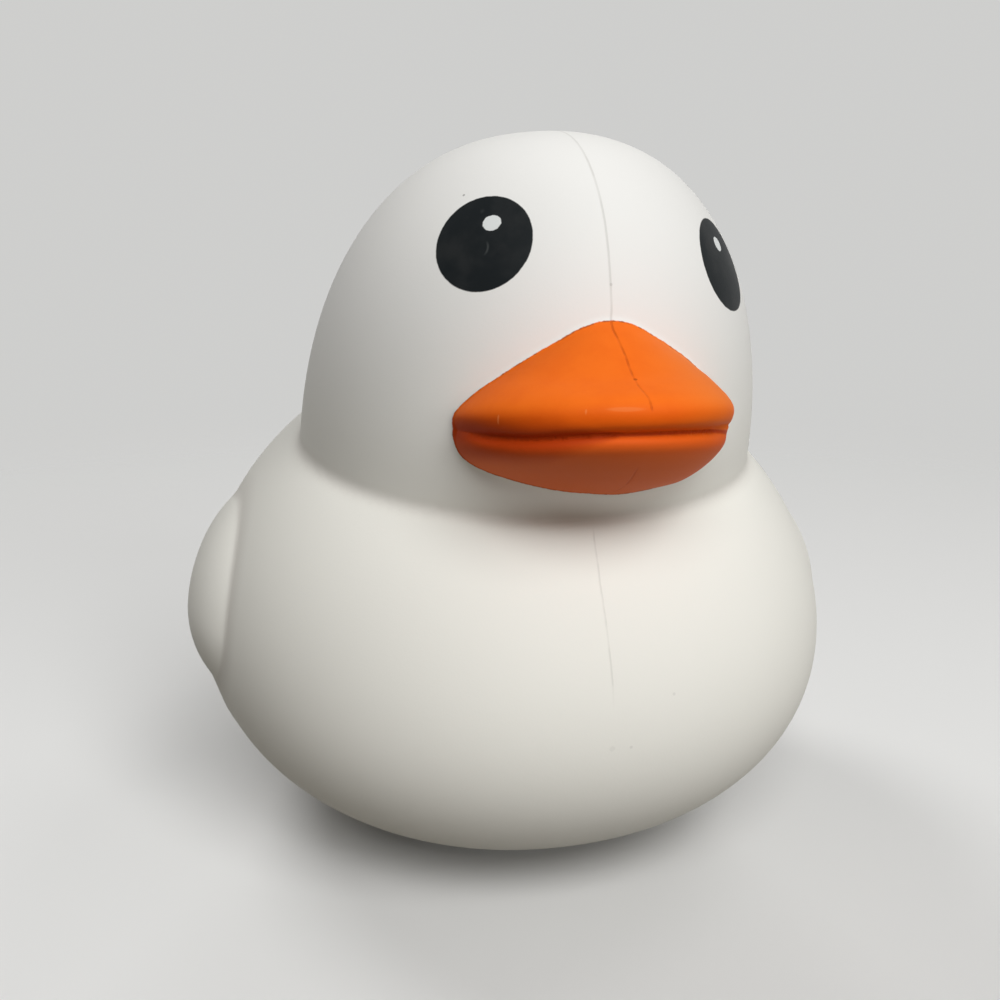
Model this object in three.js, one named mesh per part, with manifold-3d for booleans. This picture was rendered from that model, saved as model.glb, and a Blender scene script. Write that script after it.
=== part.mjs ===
// A squashy foam duck moulded in one piece: a round trunk on a small flat foot, a domed head
// that leans forward, a two-lipped bill, two low wing lobes and a short upturned tail.
// Millimetres, +Z up. The duck faces -Y and rests on its foot at z = 0.

import * as THREE from 'three';
import { mergeVertices } from 'three/addons/utils/BufferGeometryUtils.js';
import Module from 'manifold-3d';

// Trunk, measured from the middle of its widest level, with the table cutting off its lowest part
const trunkHalfWidth = 92.2;
const trunkFront = 102.7;
const trunkBack = 94;
const trunkAbove = 81.9;
const trunkLevel = 63.9;
const footCut = 3;

// Head, a dome whose widest level is the neck, set above the trunk's widest level and ahead of it
const headHalfWidth = 64;
const headFront = 71;
const headBack = 66.4;
const headAbove = 93.8;
const headBelow = 63.7;
const headRise = 42.3;
const headForward = 20;
const headLean = 14.35;

// Chin, how far the front of the neck is drawn back under the bill
const chinTuck = 7.1;

// Bill, hung from one point a little inside the face, above the neck, and turned about it
const billRise = 23.3;
const billInset = 13.7;
const billLift = 7;
const billRoll = 2.5;
const billRoot = 30;
const upperHalfWidth = 32.5;
const upperReach = 39;
const upperHeight = 27.2;
const upperLip = 3.8;
const lowerHalfWidth = 31.5;
const lowerReach = 35.2;
const lowerDrop = 13.5;
const lowerLip = 2.6;
const mouthAbove = 3;
const mouthBelow = 2;

// Wings, two lobes half sunk in the trunk's sides, each standing a little proud of it
const wingProud = 4.3;
const wingThickness = 30;
const wingForward = 6.3;
const wingRise = 4.6;
const wingFront = 42.4;
const wingBack = 62;
const wingAbove = 40.5;
const wingBelow = 32;
const wingLean = 6.2;

// Tail, a short lobe that turns up, with its middle a little inside the trunk's back
const tailInset = 33.2;
const tailRise = 23.1;
const tailHalfWidth = 40;
const tailRoot = 40;
const tailLength = 53.5;
const tailAbove = 20;
const tailBelow = 36;
const tailLift = 26;

// How full each round is: 1 is an ellipse, less is squarer, more is sharper
const plainRound = 1;
const trunkUpperRound = 1.04;
const trunkLowerRound = 1;
const trunkPlanRound = 0.956;
const headRound = 0.87;
const headPlanRound = 1.095;
const billRampRound = 1.6;
const billChinRound = 1.15;
const billLipRound = 0.7;
const wingPlanRound = 1.07;
const tailPlanRound = 1.3;

// Facets around and up each form
const trunkGrid = [60, 30];
const headGrid = [52, 26];
const billGrid = [44, 22];
const wingGrid = [32, 16];
const tailGrid = [28, 14];

const skinColour = 0xefeeea;
const skinRoughness = 0.55;

const wasm = await Module();
wasm.setup();

function swell(wave, round) {
  return Math.sign(wave) * Math.abs(wave) ** round;
}

// A sphere pulled out to its own reach on each side. The front may be a function of the height
// and of how far ahead a point looks, from 0 at the sides to 1 straight ahead
function roundForm({ halfWidth, front, back, above, below, aboveRound, belowRound, planRound, grid }) {
  const reachAt = typeof front === 'function' ? front : () => front;
  const geometry = new THREE.SphereGeometry(1, ...grid);
  const { position, uv } = geometry.attributes;
  for (let i = 0; i < position.count; i += 1) {
    const longitude = (2 * uv.getX(i) + 1) * Math.PI;
    const latitude = (uv.getY(i) - 0.5) * Math.PI;
    const rises = latitude > 0;
    const round = rises ? aboveRound : belowRound;
    const girth = swell(Math.cos(latitude), round);
    const z = swell(Math.sin(latitude), round) * (rises ? above : below);
    const x = girth * swell(Math.cos(longitude), planRound) * halfWidth;
    const depth = girth * swell(Math.sin(longitude), planRound);
    const ahead = -Math.sin(longitude);
    const y = depth * (ahead > 0 ? reachAt(z, ahead) : back);
    position.setXYZ(i, x, y, z);
  }
  return geometry;
}

function degrees(angle) {
  return THREE.MathUtils.degToRad(angle);
}

// The mesh's shared corners are merged so that it closes into a solid
function solidOf(geometry) {
  geometry.deleteAttribute('normal');
  geometry.deleteAttribute('uv');
  const closed = mergeVertices(geometry);
  const vertProperties = new Float32Array(closed.attributes.position.array);
  const triVerts = new Uint32Array(closed.index.array);
  return new wasm.Manifold(new wasm.Mesh({ numProp: 3, vertProperties, triVerts }));
}

function trunk() {
  const form = roundForm({
    halfWidth: trunkHalfWidth,
    front: trunkFront,
    back: trunkBack,
    above: trunkAbove,
    below: trunkLevel + footCut,
    aboveRound: trunkUpperRound,
    belowRound: trunkLowerRound,
    planRound: trunkPlanRound,
    grid: trunkGrid,
  });
  return form.translate(0, 0, trunkLevel);
}

// The head leans forward as it rises, and its front curves in from the bill down to the neck
function head() {
  const frontAt = (z, ahead) => {
    const drop = THREE.MathUtils.clamp(1 - z / billRise, 0, 1);
    return headFront - chinTuck * (drop * ahead) ** 2;
  };
  const form = roundForm({
    halfWidth: headHalfWidth,
    front: frontAt,
    back: headBack,
    above: headAbove,
    below: headBelow,
    aboveRound: headRound,
    belowRound: headRound,
    planRound: headPlanRound,
    grid: headGrid,
  });
  const lean = new THREE.Matrix4().makeShear(0, 0, 0, 0, 0, -Math.tan(degrees(headLean)));
  return form.applyMatrix4(lean).translate(0, -headForward, trunkLevel + headRise);
}

// Both halves of the bill turn about the same point in the face
function seatInFace(form, rise) {
  const turn = new THREE.Euler(degrees(-billLift), degrees(billRoll), 0);
  const face = headForward + headFront + billRise * Math.tan(degrees(headLean));
  const seat = new THREE.Matrix4().makeRotationFromEuler(turn);
  seat.setPosition(0, billInset - face, trunkLevel + headRise + billRise);
  return form.translate(0, 0, rise).applyMatrix4(seat);
}

function upperBill() {
  const form = roundForm({
    halfWidth: upperHalfWidth,
    front: upperReach,
    back: billRoot,
    above: upperHeight,
    below: upperLip,
    aboveRound: billRampRound,
    belowRound: billLipRound,
    planRound: plainRound,
    grid: billGrid,
  });
  return seatInFace(form, mouthAbove);
}

function lowerBill() {
  const form = roundForm({
    halfWidth: lowerHalfWidth,
    front: lowerReach,
    back: billRoot,
    above: lowerLip,
    below: lowerDrop,
    aboveRound: billLipRound,
    belowRound: billChinRound,
    planRound: plainRound,
    grid: billGrid,
  });
  return seatInFace(form, -mouthBelow);
}

// side is -1 for the duck's right wing and 1 for its left
function wing(side) {
  const form = roundForm({
    halfWidth: wingThickness,
    front: wingFront,
    back: wingBack,
    above: wingAbove,
    below: wingBelow,
    aboveRound: plainRound,
    belowRound: plainRound,
    planRound: wingPlanRound,
    grid: wingGrid,
  });
  const spread = trunkHalfWidth + wingProud - wingThickness;
  form.rotateY(degrees(-side * wingLean));
  return form.translate(side * spread, -wingForward, trunkLevel + wingRise);
}

function tail() {
  const form = roundForm({
    halfWidth: tailHalfWidth,
    front: tailRoot,
    back: tailLength,
    above: tailAbove,
    below: tailBelow,
    aboveRound: plainRound,
    belowRound: plainRound,
    planRound: tailPlanRound,
    grid: tailGrid,
  });
  return form.rotateX(degrees(tailLift)).translate(0, trunkBack - tailInset, trunkLevel + tailRise);
}

// Everything under the table top is cut away, which leaves the flat foot
function belowTable() {
  const side = 4 * Math.max(trunkHalfWidth, trunkFront, trunkBack);
  const slab = new THREE.BoxGeometry(side, side, side);
  return slab.translate(0, 0, -side / 2);
}

function duckGeometry() {
  const lobes = [head(), upperBill(), lowerBill(), wing(-1), wing(1), tail()];
  const whole = lobes.reduce((body, lobe) => body.add(solidOf(lobe)), solidOf(trunk()));
  const { vertProperties, triVerts } = whole.subtract(solidOf(belowTable())).getMesh();
  const geometry = new THREE.BufferGeometry();
  geometry.setAttribute('position', new THREE.BufferAttribute(vertProperties, 3));
  geometry.setIndex(new THREE.BufferAttribute(triVerts, 1));
  geometry.computeVertexNormals();
  return geometry;
}

// The origin lies under the middle of the duck's length, on the table
function centredOnTable(geometry) {
  geometry.computeBoundingBox();
  const middle = geometry.boundingBox.getCenter(new THREE.Vector3());
  return geometry.translate(-middle.x, -middle.y, -geometry.boundingBox.min.z);
}

const skin = new THREE.MeshStandardMaterial({
  color: skinColour,
  roughness: skinRoughness,
  metalness: 0,
});

const duck = new THREE.Mesh(centredOnTable(duckGeometry()), skin);
duck.name = 'duck';

const toy = new THREE.Group();
toy.add(duck);

export default toy;
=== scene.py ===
import math

import bmesh
import bpy
import numpy as np
from mathutils import Matrix, Vector


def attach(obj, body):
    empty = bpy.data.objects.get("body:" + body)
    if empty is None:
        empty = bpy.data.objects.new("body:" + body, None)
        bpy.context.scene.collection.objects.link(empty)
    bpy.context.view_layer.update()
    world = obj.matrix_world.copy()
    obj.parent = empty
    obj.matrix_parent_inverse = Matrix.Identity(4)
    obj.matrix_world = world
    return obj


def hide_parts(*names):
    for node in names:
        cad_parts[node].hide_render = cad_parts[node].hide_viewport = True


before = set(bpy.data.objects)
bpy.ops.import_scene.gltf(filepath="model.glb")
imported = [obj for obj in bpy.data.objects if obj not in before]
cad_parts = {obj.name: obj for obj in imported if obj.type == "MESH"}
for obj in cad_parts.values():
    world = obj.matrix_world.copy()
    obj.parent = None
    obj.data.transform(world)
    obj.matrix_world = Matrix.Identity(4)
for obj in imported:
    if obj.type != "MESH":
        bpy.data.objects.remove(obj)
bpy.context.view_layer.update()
scene = bpy.context.scene
mm = 0.001  # the duck's forms are given in millimetres, the scene is in metres
tiny = 1e-9  # keeps powers and divisions away from zero

# The duck's forms. Each is a ball pulled out to its own reach on each side.
# A round of 1 is an ellipse, less is squarer and more is sharper. Angles are in degrees.
trunk = {
    "centre": (0, 5.2, 63.9), "halfWidth": 92.2,
    "front": 102.7, "back": 94.0, "above": 81.9, "below": 64.8,
    "aboveRound": 1.04, "belowRound": 0.94, "planRound": 0.956,
}
head = {
    "centre": (0, -14.8, 106.2), "halfWidth": 64.0,
    "front": 71.0, "back": 66.4, "above": 93.8, "below": 63.7,
    "aboveRound": 0.87, "belowRound": 0.87, "planRound": 1.095,
    "lean": 14.35,  # how far the dome tips forward
    "chinTuck": 7.1, "chinTop": 23.3,  # the face draws in from the bill down to the neck
}
wing = {
    "centre": (66.8, 1.9, 68.4), "halfWidth": 29.9,
    "front": 41.7, "back": 60.0, "above": 38.5, "below": 29.8,
    "aboveRound": 1.02, "belowRound": 1.02, "planRound": 0.89,
    "leanIn": 5.4, "flare": 2.8,
    # its lower edge runs softly into the trunk, from this height down
    "softBelow": 58.0, "softOver": 16.0, "softFill": 7.5,
}
tail = {
    "centre": (0, 66.0, 87.0), "halfWidth": 40.0,
    "front": 40.0, "back": 53.5, "above": 20.0, "below": 36.0,
    "aboveRound": 1.0, "belowRound": 1.0, "planRound": 1.3,
    "liftUp": 26.0,
}
bill = {
    "seat": (0, -78.06, 128.5),  # a point inside the face that both halves turn about
    "lift": 8.7, "roll": 0.3, "yaw": 2.4, "root": 30.0,
    # Each half runs round its outline: reach from the seat, height over the mouth.
    # The fill says how much fuller it is at both sides, then how much it leans to one side:
    # reach, height, height.
    "upper": {
        "halfWidth": 32.2, "reach": 39.0, "shift": -0.8, "skew": 0.0, "facing": 1,
        "outline": [
            (0, 40), (15.9, 24.95), (20.0, 20.7), (24.6, 15.9), (29.4, 11.6), (33.5, 9.0),
            (36.3, 7.3), (38.1, 5.7), (38.9, 3.9), (38.5, 1.9), (37.2, 0.5), (34.6, -0.25),
            (27.0, -0.55), (0, -0.55),
        ],
        "fill": [(18, -1.7, 0.5), (24, 1.25, 0.7), (30, 2.5, 0.95), (35, 1.4, 0.45), (38, 0, 0)],
    },
    "lower": {
        "halfWidth": 31.7, "reach": 35.8, "shift": -2.0, "skew": -2.7, "facing": -1,
        "outline": [
            (0, 0.7), (27.0, 0.7), (32.2, 0.2), (33.8, -0.65), (34.7, -1.55), (35.0, -2.8),
            (34.3, -4.2), (32.5, -5.7), (30.2, -7.2), (26.6, -9.1), (21.0, -11.4),
            (14.0, -13.1), (7.0, -14.1), (0, -14.5),
        ],
        "fill": [
            (12, 0.0, -0.45), (23, -0.3, -1.0), (28, -0.4, -0.65), (33, -0.2, -0.3), (36, 0, 0),
        ],
    },
    "skewOver": 14.0,
    # The mouth's path: distance aside, how far it rises and how much its groove is filled,
    # which makes both corners shallow. The rise fades out above and below the mouth.
    "mouthPath": [
        (-34.5, 3.2, 5.0), (-33, 1.9, 3.5), (-32, 0.9, 2.2), (-31, 0.25, 1.2), (-28, -0.4, 0.3),
        (-24, -0.8, 0), (-20, -0.6, 0), (-15, -0.2, 0), (-10, 0, 0), (14, 0, 0), (20, 0, 1.5),
        (24, 0, 4.0), (28, 0, 5.5), (33, 0, 6.0),
    ],
    "fadeAbove": 4.0, "fadeBelow": 6.0,
    "pathSoftening": 1.5, "fillSoftening": 2.0,  # rounds off the corners in both tables
    "within": 62.0, "farGap": 40.0,  # a place further than this from the seat only counts as far
    "paintMeld": 5.0,
}
# widths of the soft joins
fillets = {"neck": 1.5, "wing": 0.7, "tail": 22.0, "bill": 1.0, "mouth": 0.6, "foot": 1.6}
eyes = {
    # azimuth from the front and elevation on the head's dome, then sizes in millimetres
    "right": {
        "side": -1, "azimuth": 33.5, "elevation": 41.75,
        "radius": (11.7, 11.5), "dot": (1.6, 4.5), "dotSize": (2.25, 1.95),
    },
    "left": {
        "side": 1, "azimuth": 46.4, "elevation": 37.8,
        "radius": (13.1, 11.8), "dot": (-0.4, 4.95), "dotSize": (2.2, 1.9),
    },
}
# the mould's parting line down the front: height, how far it strays sideways
seamPath = [
    (40, 0.2), (72, 0), (83, -0.5), (94, -0.85), (104, -0.45), (117, 1.3), (124, 0.4),
    (138, -0.1), (140.5, -0.1), (142.4, -0.6), (148, 0), (151.5, -0.2), (153, -0.5), (157, 0),
    (177, 0.15), (186, -0.1), (198.5, -0.55),
]
# the painted shadow under the bill: its middle and half width, then how far it runs up and down the
# crease
throatShade = {"middle": -6.0, "halfWidth": 19.0, "upHead": 7.2, "downTrunk": 3.0}
skinMesh = {
    "voxel": 2.3, "ballDetail": 5, "lathe": 64,
    "firstSettling": 3, "settling": 2, "relaxing": 6, "relaxShare": 0.5, "lastSettling": 5,
    "longestStep": 2.0,
    # faces are finer within these distances of a feature
    "fineBill": 5.0, "fineMouth": 1.6, "fineEye": 4.0, "fineNeck": 6.0,
    "fineCrease": {"details": 5.0, "bill": 2.0}, "creaseDepth": 4.0, "creaseBefore": 10.0,
}


def turning(*steps):
    turn = Matrix.Identity(3)
    for angle, axis in steps:
        turn = turn @ Matrix.Rotation(math.radians(angle), 3, axis)
    return np.array(turn)


trunk["turn"] = head["turn"] = turning()
tail["turn"] = turning((tail["liftUp"], "X"))
bill["turn"] = turning((bill["yaw"], "Z"), (-bill["lift"], "X"), (bill["roll"], "Y"))
wings = []
for side in (-1, 1):
    x, y, z = wing["centre"]
    turn = turning((side * wing["flare"], "Z"), (-side * wing["leanIn"], "Y"))
    wings.append({**wing, "centre": (side * x, y, z), "turn": turn})


# How far out a place lies in a round form, 1 on its skin, and which way that grows
def roundReach(form, places):
    x, y, z = ((places - np.array(form["centre"])) @ form["turn"]).T
    lean = math.tan(math.radians(form.get("lean", 0)))
    y = y + lean * z
    across = np.abs(x) / form["halfWidth"] + tiny
    front = form["front"]
    if "chinTuck" in form:
        drop = np.clip(1 - z / form["chinTop"], 0, 1)
        flat = 2 / form["planRound"]
        ahead = np.abs(y / front) ** flat
        front = front - form["chinTuck"] * drop ** 2 * ahead / (ahead + across ** flat)
    deep = np.where(y < 0, front, form["back"])
    tall = np.where(z > 0, form["above"], form["below"])
    along, up = np.abs(y) / deep + tiny, np.abs(z) / tall + tiny
    rise = np.where(z > 0, form["aboveRound"], form["belowRound"])
    flat = form["planRound"]
    plan = across ** (2 / flat) + along ** (2 / flat)
    total = plan ** (flat / rise) + up ** (2 / rise)
    outer = total ** (rise / 2 - 1)
    inPlan = outer * plan ** (flat / rise - 1)
    slopeX = inPlan * across ** (2 / flat - 1) * np.sign(x) / form["halfWidth"]
    slopeY = inPlan * along ** (2 / flat - 1) * np.sign(y) / deep
    slopeZ = outer * up ** (2 / rise - 1) * np.sign(z) / tall + lean * slopeY
    return total ** (rise / 2), np.stack([slopeX, slopeY, slopeZ], 1) @ form["turn"].T


# Gap from the skin in millimetres, below zero inside, and the way out
def roundGap(form, places):
    reach, way = roundReach(form, places)
    steep = np.linalg.norm(way, axis=1)
    return (reach - 1) / steep, way / steep[:, None]


# A smooth line through a bill half's outline
def smoothOutline(half, steps=6):
    corners = np.array(half["outline"], float)
    padded = np.vstack([2 * corners[0] - corners[1], corners, 2 * corners[-1] - corners[-2]])
    line = []
    for i in range(1, len(padded) - 2):
        before, start, end, after = padded[i - 1:i + 3]
        for t in np.arange(steps) / steps:
            line.append(0.5 * (
                2 * start + (end - before) * t
                + (2 * before - 5 * start + 4 * end - after) * t ** 2
                + (3 * start - before - 3 * end + after) * t ** 3))
    line.append(corners[-1])
    return np.array(line)


# Height of the mouth line at a distance aside, and the width of its fill
def mouthAt(x):
    asides, rises, fills = zip(*bill["mouthPath"])
    soft = bill["pathSoftening"]
    return [
        sum(np.interp(x + step, asides, values) for step in (-soft, 0, soft)) / 3
        for values in (rises, fills)
    ]


def inBill(places):
    return (places - np.array(bill["seat"])) @ bill["turn"]


# Distance from an outline, the way from it in both directions, and 1 outside or -1 inside
def outlineGap(line, out, height):
    nearest = np.full(len(out), np.inf)
    nearOut, nearUp = np.zeros(len(out)), np.zeros(len(out))
    inside = np.zeros(len(out), bool)
    for (aOut, aUp), (bOut, bUp) in zip(line[:-1], line[1:]):
        runOut, runUp = bOut - aOut, bUp - aUp
        along = (out - aOut) * runOut + (height - aUp) * runUp
        t = np.clip(along / (runOut ** 2 + runUp ** 2), 0, 1)
        awayOut, awayUp = out - aOut - t * runOut, height - aUp - t * runUp
        apart = np.hypot(awayOut, awayUp)
        closer = apart < nearest
        nearest = np.where(closer, apart, nearest)
        nearOut = np.where(closer, awayOut, nearOut)
        nearUp = np.where(closer, awayUp, nearUp)
        if runUp:  # each crossing of a level line to the outside swaps inside and outside
            crosses = (aUp > height) != (bUp > height)
            inside ^= crosses & (out < aOut + (height - aUp) / runUp * runOut)
    return nearest, nearOut, nearUp, np.where(inside, -1.0, 1.0)


# The same gap and way out as roundGap gives, for one half of the bill
def halfGap(half, places):
    local = inBill(places)
    gaps = np.full(len(places), bill["farGap"])
    ways = np.tile((0.0, 0.0, 1.0), (len(places), 1))
    near = np.linalg.norm(local, axis=1) < bill["within"]
    if not near.any():
        return gaps, ways
    x, y, z = local[near].T
    fade = np.where(z > 0, bill["fadeAbove"], bill["fadeBelow"])
    z = z - mouthAt(x)[0] * np.exp(-(z / fade) ** 2)
    x = x - half["shift"] - half["skew"] * z / bill["skewOver"]
    deep = np.where(y < 0, half["reach"], bill["root"])
    share = np.hypot(x / half["halfWidth"], y / deep) + tiny
    out = share * half["reach"]
    reaches, fills, leans = zip(*half["fill"])
    side = x / half["halfWidth"] / share
    for step in (-bill["fillSoftening"], 0, bill["fillSoftening"]):
        fuller = np.interp(out + step, reaches, fills) * side ** 2
        fuller = fuller + np.interp(out + step, reaches, leans) * side
        z = z - np.where(z * half["facing"] > 0, fuller / 3, 0)
    nearest, nearOut, nearUp, sign = outlineGap(smoothOutline(half), out, z)
    smallest = 1e-6
    scale = sign / np.maximum(nearest, smallest)
    perOut = half["reach"] / share
    way = np.stack([
        nearOut * scale * perOut * x / half["halfWidth"] ** 2,
        nearOut * scale * perOut * y / deep ** 2,
        nearUp * scale], 1)
    steep = np.maximum(np.linalg.norm(way, axis=1), smallest)
    gaps[near] = sign * nearest / steep
    ways[near] = (way / steep[:, None]) @ bill["turn"].T
    return gaps, ways


def lipGaps(places):
    return [halfGap(bill[half], places)[0] for half in ("upper", "lower")]


# Two skins run into each other over a soft width
def meld(first, second, width):
    share = np.clip(0.5 + 0.5 * (second[0] - first[0]) / width, 0, 1)
    gap = second[0] * (1 - share) + first[0] * share - width * share * (1 - share)
    way = second[1] * (1 - share)[:, None] + first[1] * share[:, None]
    return gap, way


def billGap(places, width=None):
    if width is None:
        width = fillets["mouth"] + mouthAt(inBill(places)[:, 0])[1]
    return meld(halfGap(bill["upper"], places), halfGap(bill["lower"], places), width)


def bodyGap(places):
    skin = meld(roundGap(trunk, places), roundGap(head, places), fillets["neck"])
    soft = np.clip((wing["softBelow"] - places[:, 2]) / wing["softOver"], 0, 1)
    for each in wings:
        skin = meld(skin, roundGap(each, places), fillets["wing"] + wing["softFill"] * soft ** 2)
    return meld(skin, roundGap(tail, places), fillets["tail"])


def skinGap(places):
    gap, way = meld(bodyGap(places), billGap(places), fillets["bill"])
    # the table flattens the foot, with a soft edge
    table, soft = -places[:, 2], fillets["foot"]
    share = np.clip(0.5 - 0.5 * (table - gap) / soft, 0, 1)
    flatGap = table * (1 - share) + gap * share + soft * share * (1 - share)
    down = np.array((0.0, 0.0, -1.0))
    return flatGap, down * (1 - share)[:, None] + way * share[:, None]


# Rough balls and lathed bill halves, to be fused and then drawn onto the exact skin
def addRound(bm, form):
    detail = skinMesh["ballDetail"]
    ball = bmesh.ops.create_icosphere(bm, subdivisions=detail, radius=1.0)["verts"]
    centre, probe = np.array(form["centre"]), 40
    spots = np.array([v.co for v in ball]) * probe @ form["turn"].T + centre
    reach, _ = roundReach(form, spots)
    spots = (spots - centre) / reach[:, None] + centre
    for v, spot in zip(ball, spots):
        v.co = spot


def addHalf(bm, half):
    line = smoothOutline(half, 2)[1:-1]
    seat, turn, around = np.array(bill["seat"]), bill["turn"], skinMesh["lathe"]

    def spot(out, height, angle):
        share = out / half["reach"]
        deep = half["reach"] if math.sin(angle) < 0 else bill["root"]
        aside = half["shift"] + half["skew"] * height / bill["skewOver"]
        x = aside + share * half["halfWidth"] * math.cos(angle)
        local = np.array((x, share * deep * math.sin(angle), height))
        return bm.verts.new(turn @ local + seat)

    angles = [2 * math.pi * i / around for i in range(around)]
    rings = [[spot(out, height, angle) for angle in angles] for out, height in line]
    ends = [spot(0, half["outline"][end][1], 0) for end in (0, -1)]
    for upper, lower in zip(rings[:-1], rings[1:]):
        for i in range(around):
            j = (i + 1) % around
            bm.faces.new((upper[i], lower[i], lower[j], upper[j]))
    for i in range(around):
        j = (i + 1) % around
        bm.faces.new((ends[0], rings[0][i], rings[0][j]))
        bm.faces.new((ends[1], rings[-1][j], rings[-1][i]))


def fusedForms():
    bm = bmesh.new()
    for form in (trunk, head, *wings, tail):
        addRound(bm, form)
    for half in (bill["upper"], bill["lower"]):
        addHalf(bm, half)
    # the voxels lie level with the mouth, so that rows of faces follow it
    seat, turn = np.array(bill["seat"]), bill["turn"]
    shift = np.array((0, 0, skinMesh["voxel"] / 2))
    for v in bm.verts:
        v.co = (np.array(v.co) - seat) @ turn + shift
    rough = bpy.data.meshes.new("roughDuck")
    bm.to_mesh(rough)
    bm.free()
    holder = bpy.data.objects.new("roughDuck", rough)
    scene.collection.objects.link(holder)
    fuse = holder.modifiers.new("fuse", "REMESH")
    fuse.mode = "VOXEL"
    fuse.voxel_size = skinMesh["voxel"]
    graph = bpy.context.evaluated_depsgraph_get()
    fused = bpy.data.meshes.new_from_object(holder.evaluated_get(graph))
    bpy.data.objects.remove(holder)
    bm = bmesh.new()
    bm.from_mesh(fused)
    bpy.data.meshes.remove(fused)
    for v in bm.verts:
        v.co = turn @ (np.array(v.co) - shift) + seat
    return bm


def placesOf(bm):
    return np.array([v.co for v in bm.verts], float)


def settle(places, rounds):
    limit = skinMesh["longestStep"]
    for _ in range(rounds):
        gap, way = skinGap(places)
        places = places - np.clip(gap, -limit, limit)[:, None] * way
    return places


def eyeFrame(eye):
    angle = math.radians(-90 + eye["side"] * eye["azimuth"])
    level = math.radians(eye["elevation"])
    girth = math.cos(level) ** head["aboveRound"]
    aside = math.copysign(abs(math.cos(angle)) ** head["planRound"], math.cos(angle))
    x = head["halfWidth"] * girth * aside
    y = -head["front"] * girth * abs(math.sin(angle)) ** head["planRound"]
    z = head["above"] * math.sin(level) ** head["aboveRound"]
    y -= math.tan(math.radians(head["lean"])) * z
    centre = np.array(head["centre"]) + (x, y, z)
    out = roundGap(head, centre[None])[1][0]
    across = np.cross((0, 0, 1), out)
    across /= np.linalg.norm(across)
    return centre, out, across, np.cross(out, across)


def ovalGap(u, v, sizes):
    wide, high = sizes
    return (np.hypot(u / wide, v / high) - 1) * min(wide, high)


# Millimetres outside a painted eye and outside its pale dot, below zero inside
def eyeGaps(places, far=50.0, deepest=-14):
    eyeGap, dotGap = np.full(len(places), far), np.full(len(places), far)
    for eye in eyes.values():
        centre, out, across, up = eyeFrame(eye)
        away = places - centre
        u, v, depth = away @ across, away @ up, away @ out
        near = depth > deepest
        eyeGap = np.where(near, np.minimum(eyeGap, ovalGap(u, v, eye["radius"])), eyeGap)
        dot = ovalGap(u - eye["dot"][0], v - eye["dot"][1], eye["dotSize"])
        dotGap = np.where(near, np.minimum(dotGap, dot), dotGap)
    return eyeGap, dotGap


# Which verts want finer faces in each of the three rounds: details, bill and mouth
def wantsFiner(places, zone):
    beak, body = billGap(places)[0], bodyGap(places)[0]
    wanted = (np.abs(beak) < skinMesh["fineBill"]) & (beak - body < skinMesh["fineBill"])
    if zone == "mouth":
        upperGap, lowerGap = lipGaps(places)
        return wanted & (np.abs(upperGap - lowerGap) < skinMesh["fineMouth"])
    trunkGap = roundGap(trunk, places)[0]
    if zone == "details":
        wanted |= eyeGaps(places)[0] < skinMesh["fineEye"]
        wanted |= np.abs(trunkGap - roundGap(head, places)[0]) < skinMesh["fineNeck"]
    onTrunk = np.abs(trunkGap) < skinMesh["creaseDepth"]
    atFront = places[:, 1] < skinMesh["creaseBefore"]
    for each in wings:
        crease = np.abs(trunkGap - roundGap(each, places)[0])
        wanted |= (crease < skinMesh["fineCrease"][zone]) & onTrunk & atFront
    return wanted


def refine(bm, wanted):
    bm.verts.ensure_lookup_table()
    marked = {bm.verts[i] for i in np.flatnonzero(wanted)}
    edges = [e for e in bm.edges if e.verts[0] in marked and e.verts[1] in marked]
    bmesh.ops.subdivide_edges(bm, edges=edges, cuts=1, use_grid_fill=True)


# Evens out the faces while the verts stay on the skin
def relax(bm, places):
    edges = np.array([(e.verts[0].index, e.verts[1].index) for e in bm.edges])
    for _ in range(skinMesh["relaxing"]):
        total, count = np.zeros_like(places), np.zeros(len(places))
        for a, b in ((0, 1), (1, 0)):
            np.add.at(total, edges[:, a], places[edges[:, b]])
            np.add.at(count, edges[:, a], 1)
        pull = total / count[:, None] - places
        places = settle(places + skinMesh["relaxShare"] * pull, skinMesh["settling"])
    return places


# Values on the skin that the colours are drawn from, in millimetres apart from the throat shadow's
# share
def paintFields(places):
    eyeGap, dotGap = eyeGaps(places)
    upperGap, lowerGap = lipGaps(places)
    trunkGap, headGap = roundGap(trunk, places)[0], roundGap(head, places)[0]
    neckHollow = np.abs(trunkGap - headGap)
    aside = (places[:, 0] - throatShade["middle"]) / throatShade["halfWidth"]
    reach = np.where(headGap < trunkGap, throatShade["upHead"], throatShade["downTrunk"])
    atFront = places[:, 1] < 0
    heights, strays = zip(*seamPath)
    return {
        "billPaint": billGap(places, bill["paintMeld"])[0] - bodyGap(places)[0],
        "eyePaint": eyeGap,
        "dotPaint": dotGap,
        "seamSide": places[:, 0] - np.interp(places[:, 2], heights, strays) * atFront,
        "neckHollow": neckHollow,
        "throatShadow": np.exp(-aside ** 2 - (neckHollow / reach) ** 2) * atFront,
        "wingSide": np.min([roundGap(each, places)[0] for each in wings], 0) - trunkGap,
        "mouthSide": upperGap - lowerGap,
        "billHeight": inBill(places)[:, 2],
    }


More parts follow.
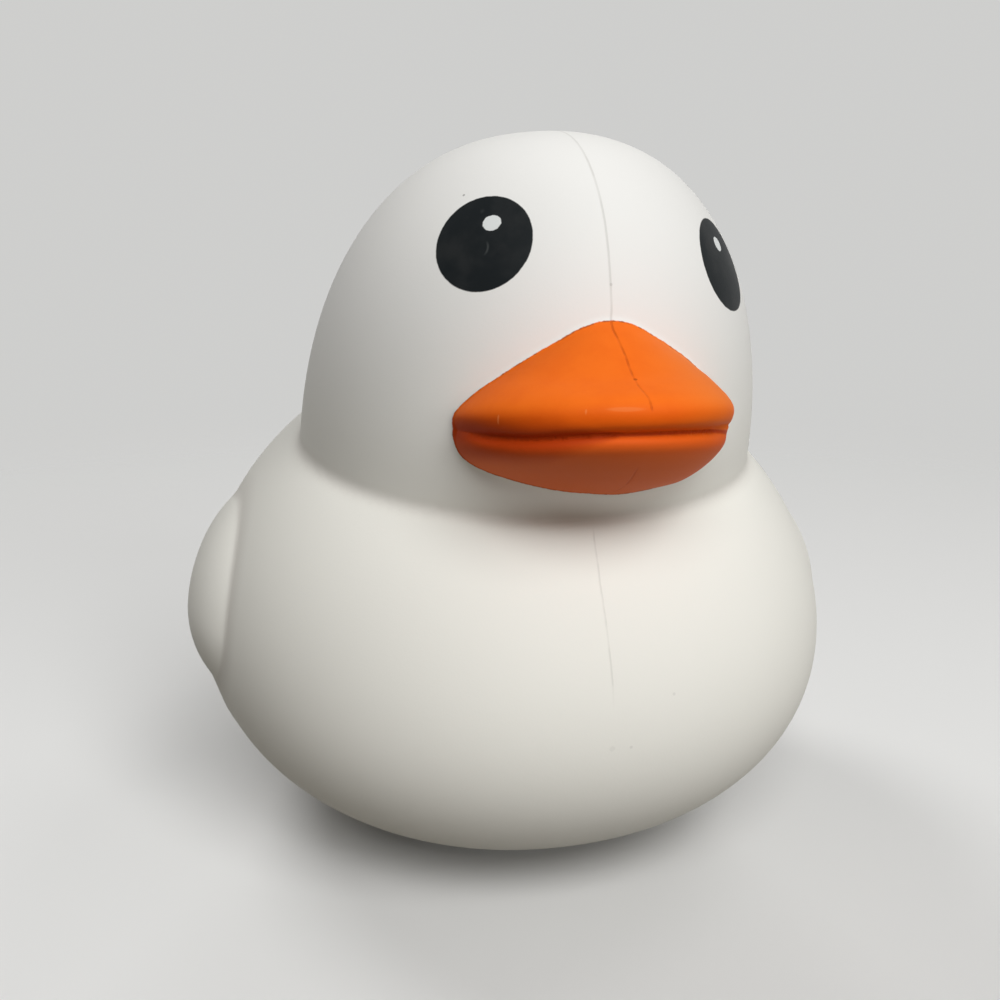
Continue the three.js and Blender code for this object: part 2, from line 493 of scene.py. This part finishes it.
def makeDuck():
    bm = fusedForms()
    print("fused forms:", len(bm.verts), "verts")
    places = settle(placesOf(bm), skinMesh["firstSettling"])
    for zone in ("details", "bill", "mouth"):
        wanted = wantsFiner(places, zone)
        for v, place in zip(bm.verts, places):
            v.co = place
        refine(bm, wanted)
        places = settle(placesOf(bm), skinMesh["settling"])
    print("refined skin:", len(bm.verts), "verts")
    places = settle(relax(bm, places), skinMesh["lastSettling"])
    for v, place in zip(bm.verts, places):
        v.co = place * mm
    bmesh.ops.recalc_face_normals(bm, faces=bm.faces)
    mesh = bpy.data.meshes.new("foamDuck")
    bm.to_mesh(mesh)
    bm.free()
    mesh.polygons.foreach_set("use_smooth", [True] * len(mesh.polygons))
    for name, values in paintFields(places).items():
        made = mesh.attributes.new(name, "FLOAT", "POINT")
        made.data.foreach_set("value", values.astype(np.float32))
    duck = bpy.data.objects.new("foamDuck", mesh)
    scene.collection.objects.link(duck)
    triangles = sum(len(p.vertices) - 2 for p in mesh.polygons)
    gapLeft = round(float(np.abs(skinGap(places)[0]).max()), 4)
    print("duck skin:", triangles, "triangles, gap left", gapLeft, "mm")
    return duck


# Shader helpers
def addNode(tree, kind, inputs=None, **settings):
    made = tree.nodes.new(kind)
    for name, value in settings.items():
        setattr(made, name, value)
    for socket, value in (inputs or {}).items():
        if isinstance(value, bpy.types.NodeSocket):
            tree.links.new(value, made.inputs[socket])
        else:
            made.inputs[socket].default_value = value
    return made


def calc(tree, operation, first, second=0.0, third=0.0):
    values = {0: first, 1: second, 2: third}
    return addNode(tree, "ShaderNodeMath", values, operation=operation).outputs[0]


def product(tree, first, *others):
    for other in others:
        first = calc(tree, "MULTIPLY", first, other)
    return first


def mapped(tree, value, fromLow, fromHigh, toLow=0.0, toHigh=1.0, curve="SMOOTHSTEP"):
    values = {0: value, 1: fromLow, 2: fromHigh, 3: toLow, 4: toHigh}
    return addNode(tree, "ShaderNodeMapRange", values, interpolation_type=curve).outputs[0]


# From a strength down to nothing
def fading(tree, value, start, end, strength=1.0):
    return mapped(tree, value, start, end, strength, 0.0)


def mixColour(tree, factor, first, second, blend="MIX"):
    values = {0: factor, 6: first, 7: second}
    return addNode(tree, "ShaderNodeMix", values, data_type="RGBA", blend_type=blend).outputs[2]


def mixValue(tree, factor, first, second):
    values = {0: factor, 2: first, 3: second}
    return addNode(tree, "ShaderNodeMix", values, data_type="FLOAT").outputs[0]


def noise(tree, where, scale, detail=2.0, roughness=0.5):
    values = {"Vector": where, "Scale": scale, "Detail": detail, "Roughness": roughness}
    return addNode(tree, "ShaderNodeTexNoise", values).outputs["Fac"]


def vectorMath(tree, operation, first, second):
    return addNode(tree, "ShaderNodeVectorMath", {0: first, 1: second}, operation=operation).outputs


# The place on the duck in millimetres
def placeNode(tree):
    where = addNode(tree, "ShaderNodeTexCoord").outputs["Object"]
    values = {0: where, "Scale": 1 / mm}
    return addNode(tree, "ShaderNodeVectorMath", values, operation="SCALE").outputs[0]


def newGroup(name, inputs, outputs):
    group = bpy.data.node_groups.new(name, "ShaderNodeTree")
    for label, value in inputs:
        kind = "NodeSocketVector" if isinstance(value, tuple) else "NodeSocketFloat"
        group.interface.new_socket(label, in_out="INPUT", socket_type=kind).default_value = value
    for label in outputs:
        group.interface.new_socket(label, in_out="OUTPUT", socket_type="NodeSocketFloat")
    given = group.nodes.new("NodeGroupInput").outputs
    return group, given, group.nodes.new("NodeGroupOutput").inputs


# A painted field with a slightly ragged, hand-masked edge
def paintEdgeGroup():
    group, given, result = newGroup(
        "paintEdge", [("Gap", 0), ("Ragged", 0.15), ("Teeth", 0.9), ("Soft", 0.1)], ["Mask"])
    teeth = noise(group, placeNode(group), given["Teeth"], 3.0, 0.6)
    teeth = calc(group, "SUBTRACT", teeth, 0.5)
    ragged = calc(group, "MULTIPLY", given["Ragged"], 4.0)
    gap = calc(group, "MULTIPLY_ADD", teeth, ragged, given["Gap"])
    share = calc(group, "DIVIDE", gap, given["Soft"])
    group.links.new(fading(group, share, -1.0, 1.0), result["Mask"])
    return group


# A thin line where a side field is zero, coming and going along its length
def hairlineGroup():
    group, given, result = newGroup(
        "hairline",
        [("Side", 0), ("Width", 0.3), ("Wander", 0.1), ("Broken", 0.0), ("Length", 6.0)], ["Mask"])
    _, along, up = addNode(group, "ShaderNodeSeparateXYZ", {0: placeNode(group)}).outputs
    inPlane = addNode(group, "ShaderNodeCombineXYZ", {1: along, 2: up}).outputs[0]
    drift = calc(group, "SUBTRACT", noise(group, inPlane, 0.3), 0.5)
    wander = calc(group, "MULTIPLY", given["Wander"], 2.0)
    off = calc(group, "MULTIPLY_ADD", drift, wander, given["Side"])
    line = calc(group, "DIVIDE", calc(group, "ABSOLUTE", off), given["Width"])
    line = fading(group, line, 0.4, 1.2)
    pieces = noise(group, inPlane, calc(group, "DIVIDE", 1.0, given["Length"]))
    pieces = mixValue(group, given["Broken"], 1.0, mapped(group, pieces, 0.42, 0.58))
    group.links.new(product(group, line, pieces), result["Mask"])
    return group


# A small round mark about a place on the skin
def spotGroup():
    group, given, result = newGroup(
        "spot", [("Place", (0.0, 0.0, 0.0)), ("Size", 0.5), ("Soft", 0.3), ("Tall", 1.0)], ["Mask"])
    away = vectorMath(group, "SUBTRACT", placeNode(group), given["Place"])[0]
    stretch = addNode(group, "ShaderNodeCombineXYZ", {0: 1.0, 1: 1.0, 2: given["Tall"]}).outputs[0]
    away = vectorMath(group, "DIVIDE", away, stretch)[0]
    apart = addNode(group, "ShaderNodeVectorMath", {0: away}, operation="LENGTH").outputs["Value"]
    edge = calc(group, "ADD", given["Size"], given["Soft"])
    group.links.new(fading(group, apart, given["Size"], edge), result["Mask"])
    return group


# Colours are linear, sizes and depths are in millimetres
duckFinish = {
    "skin": (0.84, 0.835, 0.81, 1), "skinWarmBounce": (0.84, 0.828, 0.77, 1),
    "skinShadeAndMottle": (0.70, 0.67, 0.62, 1), "throatShadow": (0.34, 0.27, 0.22, 1),
    "seam": (0.42, 0.40, 0.37, 1), "speck": (0.13, 0.12, 0.11, 1),
    "orange": (0.90, 0.165, 0.012, 1), "orangeDeep": (0.76, 0.10, 0.006, 1),
    "orangeSheen": (0.88, 0.20, 0.027, 1), "orangeShade": (0.70, 0.132, 0.026, 1),
    "lipShadeTint": (0.95, 0.75, 0.40, 1), "grooveShadow": (0.42, 0.035, 0.003, 1),
    "orangeEdge": (0.30, 0.07, 0.015, 1), "crack": (0.46, 0.055, 0.004, 1),
    "scuffAndHighlight": (0.95, 0.34, 0.11, 1),
    "eye": (0.009, 0.0115, 0.013, 1), "eyeWorn": (0.018, 0.020, 0.021, 1),
    "eyeMark": (0.07, 0.075, 0.075, 1), "dot": (0.74, 0.76, 0.75, 1),
    "skinRoughness": 0.55, "orangeRoughness": 0.55, "eyeRoughness": 0.42, "grainRoughness": 0.08,
    "shine": 0.08,
}
paintEdges = {
    "bill": {"Ragged": 0.12, "Teeth": 0.9, "Soft": 0.12},
    "eye": {"Ragged": 0.07, "Teeth": 0.5, "Soft": 0.14},
    "dot": {"Ragged": 0.06, "Teeth": 0.8, "Soft": 0.12},
}
# noises: scale, detail and roughness
noises = {
    "mottle": (0.035, 3.0), "streak": (0.16, 4.0, 0.6), "rimShade": (0.22, 3.0), "teeth": (0.85, 2.0),
    "rubbed": (0.12, 3.0), "grain": (1.6, 3.0, 0.6),
}
# painted warm bounce light low on the body, painted shade in the neck and wing creases, the painted
# shadow under the bill, and the skin's mottling
skinShade = {
    "warmBounceFrom": 105.0, "warmBounceTo": 165.0, "mottle": 0.10, "throatShadow": 0.84,
    "neckWidth": 3.5, "neck": 0.5,
    "creaseFrom": -0.5, "creaseAt": 0.1, "creaseTo": 4.5, "crease": 0.55,
}
# the parting line's look, and where each stretch of it fades in and out: heights for a foot or
# a top, distances towards the tail for a start or an end
partingLine = {
    "chest": {"Width": 0.28, "Wander": 0.1, "Broken": 0.5, "Length": 7.0},
    "head": {"Width": 0.32, "Wander": 0.06, "Broken": 0.3, "Length": 9.0},
    "chestFoot": (66.0, 74.0), "chestTop": (104.0, 107.0), "chestEnd": (-5.0, 0.0),
    "headFoot": (148.0, 150.0), "backStart": (0.0, 25.0), "backFoot": (20.0, 40.0),
    "chestStrength": 0.25, "headStrength": 0.34,
}
# painted light here: a sheen on one side, shade on the underside, at the lips, in the groove and
# along the paint's edge
billShade = {
    "streaks": (0.35, 0.75), "streakStrength": 0.2,
    "sheenSide": (0.0, 22.0), "undersideShade": (0.0, -3.5), "lipShade": (2.5, 6.5),
    "grooveAside": (-18.0, -5.0), "grooveWidths": (6.5, 1.3),
    "grooveEdge": (0.2, 1.0), "grooveShadow": 0.85,
    "rimShade": (-0.55, -0.1), "rimPatches": (0.45, 0.62), "rimStrength": 0.75,
    "teeth": (-0.4, -0.1), "teethPatches": (0.46, 0.6), "teethStrengths": (0.1, 0.85),
    "crack": {"Width": 0.3, "Wander": 0.12, "Broken": 0.6, "Length": 4.0},
    "crackAbove": (3.4, 4.6), "crackBelow": (-7.0, -8.5), "crackBelowShare": 0.6,
    "crackStrength": 0.48,
}
# small marks: where on the skin, size and how strong
skinMarks = {
    "browSpeck": ((-27.8, -67.0, 182.6), 0.22, 0.6),
    "foreheadSpeck": ((0.15, -89.6, 162.75), 0.25, 0.22),
    "chestSpeckHigh": ((15.5, -96.0, 68.7), 0.28, 0.14),
    "chestSpeckLow": ((4.8, -96.9, 56.9), 0.28, 0.14),
    "chestSpot": ((0.1, -97.0, 57.1), 0.5, 0.08),
}
billMarks = {"crackPit": ((-0.3, -106.9, 143.7), 0.3, 0.8)}
lipScuffs = {
    "middle": ((-12.9, -112.7, 138.0), 0.16, 0.3),
    "side": ((-27.5, -98.4, 135.2), 0.2, 0.35),
}
# a painted highlight along the lip's top edge
lipGleam = {"paintedHighlight": ((-5.3, -115.0, 138.6), 2.6, 0.2)}
markShape = {"softness": 0.8, "scuffTall": 4.0, "gleamTall": 0.12}
# a faint curved brush mark and a smudge in the right eye: middle across and up the eye, then sizes
eyeMarks = {
    "arc": (-0.9, -1.5), "arcRadius": 2.6, "arcEdge": (0.05, 0.4), "arcStrength": 0.55,
    "arcMiddle": (1.6, -1.6), "arcSize": 0.4, "arcReach": 1.7,
    "smudge": (-1.4, 7.6), "smudgeSize": 0.1, "smudgeReach": 0.9, "smudgeStrength": 0.4,
    "rubbed": (0.4, 0.7),
}
# how far each thing stands out from the skin
relief = {
    "grain": 0.02, "seam": -0.10, "crack": -0.12,
    "billPaint": 0.02, "eyePaint": 0.02, "dotPaint": 0.015,
}


def field(tree, name):
    return addNode(tree, "ShaderNodeAttribute", attribute_name=name).outputs["Fac"]


def use(tree, group, **inputs):
    return addNode(tree, "ShaderNodeGroup", inputs, node_tree=group).outputs["Mask"]


def marked(tree, spot, colour, marks, ink, tall=1.0):
    for place, size, strength in marks.values():
        mask = use(tree, spot, Place=place, Size=size, Soft=size * markShape["softness"], Tall=tall)
        colour = mixColour(tree, product(tree, mask, strength), colour, ink)
    return colour


# Skin: slight mottling, painted shade in the neck and wing creases, painted warm bounce light low
# down and a painted shadow under the bill, with the parting line, which is given as well
def skinLook(tree, where, hairline, spot):
    _, y, z = addNode(tree, "ShaderNodeSeparateXYZ", {0: where}).outputs
    shade, line = skinShade, partingLine
    # painted warm bounce light, strongest low on the body and fading out upwards
    warmBounce = fading(tree, z, shade["warmBounceFrom"], shade["warmBounceTo"])
    skin = mixColour(tree, warmBounce, duckFinish["skin"], duckFinish["skinWarmBounce"])
    # painted shade in the neck crease and along the front of the wing crease
    neckShade = fading(tree, field(tree, "neckHollow"), 0.0, shade["neckWidth"], shade["neck"])
    wingSide = field(tree, "wingSide")
    crease = product(
        tree, mapped(tree, wingSide, shade["creaseFrom"], shade["creaseAt"]),
        fading(tree, wingSide, shade["creaseAt"], shade["creaseTo"], shade["crease"]))
    skin = mixColour(tree, calc(tree, "MAXIMUM", neckShade, crease), skin, duckFinish["skinShadeAndMottle"])
    mottle = product(tree, noise(tree, where, *noises["mottle"]), shade["mottle"])
    # random mottling towards the same grey
    skin = mixColour(tree, mottle, skin, duckFinish["skinShadeAndMottle"])

    seamSide = field(tree, "seamSide")
    onChest = product(
        tree, mapped(tree, z, *line["chestFoot"]), fading(tree, z, *line["chestTop"]),
        fading(tree, y, *line["chestEnd"]))
    atBack = product(tree, mapped(tree, y, *line["backStart"]), mapped(tree, z, *line["backFoot"]))
    onHead = calc(tree, "MAXIMUM", mapped(tree, z, *line["headFoot"]), atBack)
    chestLine = use(tree, hairline, Side=seamSide, **line["chest"])
    headLine = use(tree, hairline, Side=seamSide, **line["head"])
    seamLine = calc(
        tree, "ADD", product(tree, chestLine, onChest, line["chestStrength"]),
        product(tree, headLine, onHead, line["headStrength"]))
    skin = mixColour(tree, seamLine, skin, duckFinish["seam"])
    # painted shadow under the bill, in the crease below it
    throatShadow = product(tree, field(tree, "throatShadow"), shade["throatShadow"])
    skin = mixColour(tree, throatShadow, skin, duckFinish["throatShadow"])
    return marked(tree, spot, skin, skinMarks, duckFinish["speck"]), seamLine


# Bill: streaks of thinner paint, a painted sheen on one side, painted shade that makes the lips
# redder and the underside darker and duller, a painted shadow in the red groove, a painted shade
# along the rim in places with darker teeth, scuffs, a painted highlight on the lip and a fine
# crack along the parting line, which is given as well
def billLook(tree, where, hairline, spot):
    x = addNode(tree, "ShaderNodeSeparateXYZ", {0: where}).outputs[0]
    shade, paintGap, height = billShade, field(tree, "billPaint"), field(tree, "billHeight")
    streak = noise(tree, where, *noises["streak"])
    streak = mapped(tree, streak, *shade["streaks"], 0.0, shade["streakStrength"])
    orange = mixColour(tree, streak, duckFinish["orange"], duckFinish["orangeDeep"])
    # a painted sheen, paler towards the duck's left
    orange = mixColour(tree, mapped(tree, x, *shade["sheenSide"]), orange, duckFinish["orangeSheen"])
    # painted shade: darker, duller orange on the underside and the lower lip's top
    undersideShade = mapped(tree, height, *shade["undersideShade"])
    orange = mixColour(tree, undersideShade, orange, duckFinish["orangeShade"])
    # painted shade: the lips redder near the mouth
    mouthShade = fading(tree, calc(tree, "ABSOLUTE", height), *shade["lipShade"])
    orange = mixColour(tree, mouthShade, orange, duckFinish["lipShadeTint"], "MULTIPLY")

    # painted shadow: the groove's darker red, for the shade in the groove and under the upper lip,
    # spreads over the lips towards the right corner
    spread = mapped(tree, x, *shade["grooveAside"], *shade["grooveWidths"], "LINEAR")
    grooveShade = calc(tree, "DIVIDE", calc(tree, "ABSOLUTE", field(tree, "mouthSide")), spread)
    grooveShade = fading(tree, grooveShade, *shade["grooveEdge"], shade["grooveShadow"])
    orange = mixColour(tree, grooveShade, orange, duckFinish["grooveShadow"])

    # painted shade along the paint's edge at the bill's root, in patches; the darker teeth share
    # its colour
    rimPatches = noise(tree, where, *noises["rimShade"])
    rimPatches = mapped(tree, rimPatches, *shade["rimPatches"], 0.0, shade["rimStrength"])
    rimShade = product(tree, mapped(tree, paintGap, *shade["rimShade"]), rimPatches)
    teethPatches = noise(tree, where, *noises["teeth"])
    teethPatches = mapped(tree, teethPatches, *shade["teethPatches"], *shade["teethStrengths"])
    teeth = product(tree, mapped(tree, paintGap, *shade["teeth"]), teethPatches)
    orange = mixColour(tree, calc(tree, "MAXIMUM", rimShade, teeth), orange, duckFinish["orangeEdge"])

    crack = use(tree, hairline, Side=field(tree, "seamSide"), **shade["crack"])
    cracked = calc(
        tree, "ADD", mapped(tree, height, *shade["crackAbove"]),
        mapped(tree, height, *shade["crackBelow"], 0.0, shade["crackBelowShare"]))
    crack = product(tree, crack, cracked)
    crackInk = product(tree, crack, shade["crackStrength"])
    orange = mixColour(tree, crackInk, orange, duckFinish["crack"])
    orange = marked(tree, spot, orange, billMarks, duckFinish["crack"])
    orange = marked(tree, spot, orange, lipScuffs, duckFinish["scuffAndHighlight"], markShape["scuffTall"])
    # the lip's gleam is a painted highlight
    return marked(tree, spot, orange, lipGleam, duckFinish["scuffAndHighlight"], markShape["gleamTall"]), crack


# Eyes: dark paint, a little rubbed, with a brush mark
def eyeLook(tree, where, spot):
    marks = eyeMarks
    centre, _, across, up = eyeFrame(eyes["right"])

    def onEye(name):
        aside, rise = marks[name]
        return tuple(float(v) for v in centre + aside * across + rise * up)

    rubbed = mapped(tree, noise(tree, where, *noises["rubbed"]), *marks["rubbed"])
    colour = mixColour(tree, rubbed, duckFinish["eye"], duckFinish["eyeWorn"])
    turnRound = vectorMath(tree, "DISTANCE", where, onEye("arc"))["Value"]
    arc = calc(tree, "ABSOLUTE", calc(tree, "SUBTRACT", turnRound, marks["arcRadius"]))
    arcPart = use(
        tree, spot, Place=onEye("arcMiddle"), Size=marks["arcSize"], Soft=marks["arcReach"])
    arc = product(tree, fading(tree, arc, *marks["arcEdge"]), arcPart, marks["arcStrength"])
    smudge = use(
        tree, spot, Place=onEye("smudge"), Size=marks["smudgeSize"], Soft=marks["smudgeReach"])
    smudge = product(tree, smudge, marks["smudgeStrength"])
    return mixColour(tree, calc(tree, "MAXIMUM", arc, smudge), colour, duckFinish["eyeMark"])


def duckMaterial():
    material = bpy.data.materials.new("duckFinish")
    material.use_nodes = True
    tree = material.node_tree
    tree.nodes.clear()
    paintEdge, hairline, spot = paintEdgeGroup(), hairlineGroup(), spotGroup()
    where = placeNode(tree)
    billMask, eyeMask, dotMask = (
        use(tree, paintEdge, Gap=field(tree, name + "Paint"), **paintEdges[name])
        for name in ("bill", "eye", "dot"))
    skin, seamLine = skinLook(tree, where, hairline, spot)
    orange, crack = billLook(tree, where, hairline, spot)
    colour = mixColour(tree, billMask, skin, orange)
    colour = mixColour(tree, eyeMask, colour, eyeLook(tree, where, spot))
    colour = mixColour(tree, dotMask, colour, duckFinish["dot"])

    grain = noise(tree, where, *noises["grain"])
    roughness = mixValue(tree, billMask, duckFinish["skinRoughness"], duckFinish["orangeRoughness"])
    roughness = mixValue(tree, eyeMask, roughness, duckFinish["eyeRoughness"])
    roughness = calc(tree, "MULTIPLY_ADD", grain, duckFinish["grainRoughness"], roughness)

    # relief: foam grain, the parting groove and the thickness of the paint
    height = product(tree, grain, relief["grain"])
    raised = {
        "seam": seamLine, "crack": product(tree, crack, billMask),
        "billPaint": billMask, "eyePaint": eyeMask, "dotPaint": dotMask,
    }
    for name, mask in raised.items():
        height = calc(tree, "MULTIPLY_ADD", mask, relief[name], height)
    bump = addNode(tree, "ShaderNodeBump", {"Strength": 1.0, "Distance": mm, "Height": height})
    shader = addNode(tree, "ShaderNodeBsdfPrincipled", {
        "Base Color": colour, "Roughness": roughness, "Normal": bump.outputs[0],
        "Specular IOR Level": duckFinish["shine"]})
    addNode(tree, "ShaderNodeOutputMaterial", {"Surface": shader.outputs[0]})
    return material


duck = makeDuck()
duck.data.materials.append(duckMaterial())
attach(duck, "root")
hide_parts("duck")
print("duck is painted and rides on root")

stageLook = {
    "floorRadius": 2.4, "floorSides": 96, "fadeFrom": 0.2, "fadeTo": 1.0,
    "floor": (0.80, 0.80, 0.79, 1),
    "floorBounce": (0.225, 0.21, 0.185, 1),  # what bounced light meets, dull like a table
    "paleWall": (0.62, 0.62, 0.61, 1), "wallStrength": 1.0,
    "ambient": (1, 0.97, 0.92, 1), "ambientStrength": 0.08,
}


# 1 where the camera sees it, straight or in a mirror, and 0 for bounced light
def seenByCamera(tree):
    rays = addNode(tree, "ShaderNodeLightPath").outputs
    mirrored = calc(tree, "MAXIMUM", rays["Is Glossy Ray"], rays["Is Transmission Ray"])
    return calc(tree, "MAXIMUM", rays["Is Camera Ray"], mirrored)


def makeFloor():
    bm = bmesh.new()
    bmesh.ops.create_circle(
        bm, cap_ends=True, segments=stageLook["floorSides"], radius=stageLook["floorRadius"])
    mesh = bpy.data.meshes.new("floor")
    bm.to_mesh(mesh)
    bm.free()
    floor = bpy.data.objects.new("floor", mesh)
    scene.collection.objects.link(floor)
    material = bpy.data.materials.new("paleFloor")
    material.use_nodes = True
    tree = material.node_tree
    tree.nodes.clear()
    where = addNode(tree, "ShaderNodeTexCoord").outputs["Object"]
    radius = addNode(tree, "ShaderNodeVectorMath", {0: where}, operation="LENGTH").outputs["Value"]
    fade = mapped(tree, radius, stageLook["fadeFrom"], stageLook["fadeTo"])
    tone = mixColour(tree, seenByCamera(tree), stageLook["floorBounce"], stageLook["floor"])
    paper = addNode(tree, "ShaderNodeBsdfDiffuse", {"Color": tone}).outputs[0]
    clear = addNode(tree, "ShaderNodeBsdfTransparent").outputs[0]
    mixed = addNode(tree, "ShaderNodeMixShader", {0: fade, 1: paper, 2: clear}).outputs[0]
    addNode(tree, "ShaderNodeOutputMaterial", {"Surface": mixed})
    mesh.materials.append(material)


def makeWorld():
    world = bpy.data.worlds.new("studio")
    scene.world = world
    world.use_nodes = True
    tree = world.node_tree
    tree.nodes.clear()
    shown = addNode(tree, "ShaderNodeBackground", {
        "Color": stageLook["paleWall"], "Strength": stageLook["wallStrength"]}).outputs[0]
    ambient = addNode(tree, "ShaderNodeBackground", {
        "Color": stageLook["ambient"], "Strength": stageLook["ambientStrength"]}).outputs[0]
    seen = seenByCamera(tree)
    mixed = addNode(tree, "ShaderNodeMixShader", {0: seen, 1: ambient, 2: shown}).outputs[0]
    addNode(tree, "ShaderNodeOutputWorld", {"Surface": mixed})


# azimuth from the front towards the duck's left, and elevation, in degrees
lamps = {
    "mainSoftbox": {"azimuth": 15, "elevation": 42, "watts": 34.0, "size": 1.3},
    "secondSoftbox": {"azimuth": -15, "elevation": 42, "watts": 29.0, "size": 1.3},
    "lowFill": {"azimuth": 20, "elevation": 15, "watts": 24.0, "size": 1.3},
    "backRight": {"azimuth": -145, "elevation": 50, "watts": 23.0, "size": 1.3},
    "backLeft": {"azimuth": 110, "elevation": 50, "watts": 6.5, "size": 1.3},
    "backLow": {"azimuth": 166, "elevation": 8, "watts": 36.0, "size": 0.9},
}
lampDistance, lampAim = 3.0, Vector((0, 0, 0.1))


def makeLamps():
    for name, lamp in lamps.items():
        data = bpy.data.lights.new(name, "AREA")
        data.shape, data.size, data.energy = "DISK", lamp["size"], lamp["watts"]
        around, up = math.radians(lamp["azimuth"]), math.radians(lamp["elevation"])
        away = Vector((
            math.sin(around) * math.cos(up), -math.cos(around) * math.cos(up), math.sin(up)))
        made = bpy.data.objects.new(name, data)
        made.location = lampAim + lampDistance * away
        made.rotation_euler = (-away).to_track_quat("-Z", "Y").to_euler()
        made.visible_glossy = not name.startswith("back")  # no sheen from behind
        scene.collection.objects.link(made)


cameraView = {
    "place": (-0.0825, -0.3202, 0.1659), "yaw": -14.024, "pitch": -11.89,
    "lens": 39.365, "sensor": 36.0, "nearest": 0.01, "farthest": 50,
}


def makeCamera():
    data = bpy.data.cameras.new("photoCamera")
    data.sensor_width, data.lens = cameraView["sensor"], cameraView["lens"]
    data.clip_start, data.clip_end = cameraView["nearest"], cameraView["farthest"]
    camera = bpy.data.objects.new("photoCamera", data)
    camera.location = cameraView["place"]
    tilt, yaw = 90 + cameraView["pitch"], cameraView["yaw"]
    camera.rotation_euler = (math.radians(tilt), 0, math.radians(yaw))
    scene.collection.objects.link(camera)
    scene.camera = camera


makeFloor()
makeWorld()
makeLamps()
makeCamera()
scene.view_settings.view_transform = "Standard"
print("stage, lamps and camera are set")
